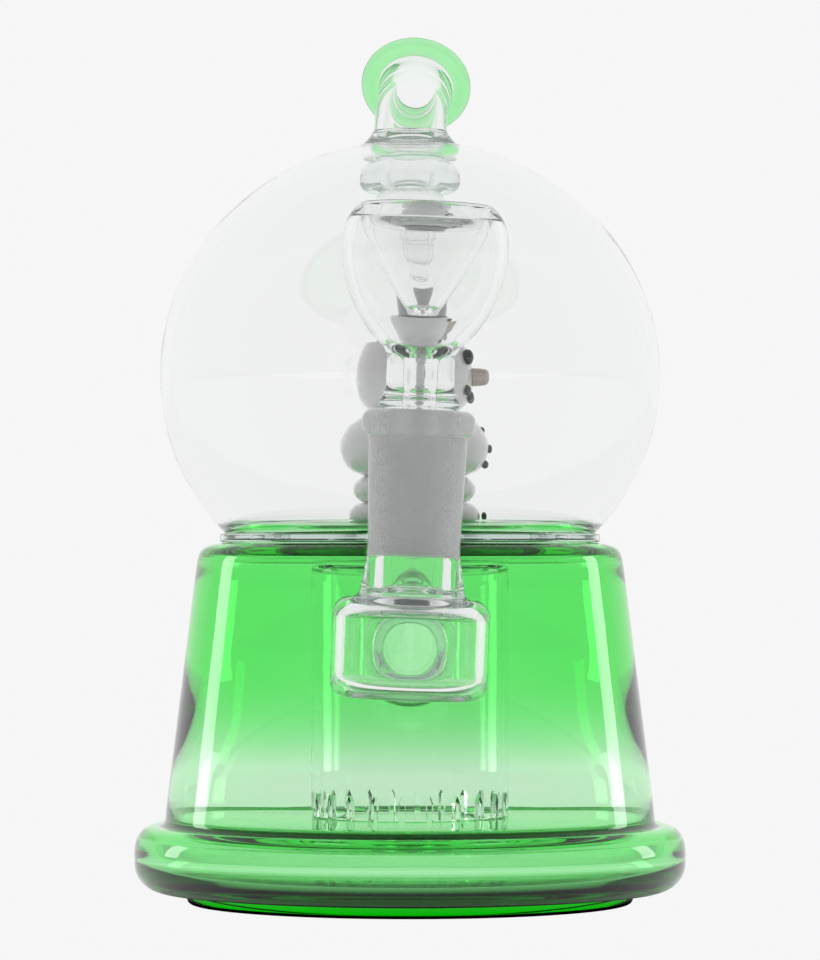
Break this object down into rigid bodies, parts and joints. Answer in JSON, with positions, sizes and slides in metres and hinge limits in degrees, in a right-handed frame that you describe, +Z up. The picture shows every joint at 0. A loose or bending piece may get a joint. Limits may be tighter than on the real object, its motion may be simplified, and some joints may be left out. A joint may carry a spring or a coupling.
{
  "type": "gumball machine",
  "caption": "Blown-glass water pipe shaped like a gumball machine: green conical base, clear globe with a glass snowman inside, bent mouthpiece and a lift-off bowl.",
  "frame": {"origin": "centre of the underside of the floor disc, on the globe's axis", "axes": "+Z up along the globe's axis, -Y towards the bowl, +Y the way that the mouthpiece bends, +X the way that the snowman faces"},
  "size_m": [0.1116, 0.14, 0.1763],
  "materials": {
    "green_glass": "clear transparent green, fire polished",
    "clear_glass": "clear, fire polished",
    "ground_glass": "frosted by grinding",
    "white_glass": "milky white, fire polished",
    "black_glass": "very dark green-black, fire polished",
    "smoke_glass": "smoky grey-green, fire polished",
    "orange_glass": "pale orange, fire polished"
  },
  "bodies": {
    "vessel": {"floor_disc": "green_glass", "foot_ring": "green_glass", "chamber_floor": "green_glass", "base_wall": "green_glass", "deck": "green_glass", "mouthpiece_lip": "green_glass", "globe_floor": "clear_glass", "globe_seam_ring": "clear_glass", "globe": "clear_glass", "neck_weld": "clear_glass", "neck_inner_ring": "clear_glass", "neck_inner_tube": "clear_glass", "neck_middle_bead": "clear_glass", "neck_end_bead": "clear_glass", "neck_tip_bead": "clear_glass", "mouthpiece_tube": "clear_glass", "percolator_can": "clear_glass", "inlet_tube": "clear_glass", "inlet_weld_ring": "clear_glass", "elbow_chamber": "clear_glass", "elbow_weld_ring": "clear_glass", "joint_stem": "clear_glass", "socket_collar": "clear_glass", "joint_socket": "ground_glass", "snowman_base": "white_glass", "snowman_ring": "white_glass", "snowman_belly": "white_glass", "snowman_head": "white_glass", "hat_brim": "black_glass", "snowman_eyes": "black_glass", "snowman_mouth": "black_glass", "snowman_buttons": "black_glass", "hat_crown": "smoke_glass", "snowman_nose": "orange_glass"},
    "ground_plug": {"bowl_ground_joint": "ground_glass"},
    "bowl": {"bowl_flange": "clear_glass", "bowl_stem": "clear_glass", "bowl_bulb": "clear_glass", "bowl_funnel": "clear_glass"}
  },
  "joints": [
    {"name": "bowl_lift", "type": "slide", "parent": "vessel", "child": "ground_plug", "axis": [0.0384, 0, 0.9993], "range_m": [0, 0.03]},
    {"name": "bowl_turn", "type": "hinge", "parent": "ground_plug", "child": "bowl", "pos_m": [0.00175, -0.0685, 0.09837], "axis": [0.0384, 0, 0.9993], "continuous": true}
  ]
}
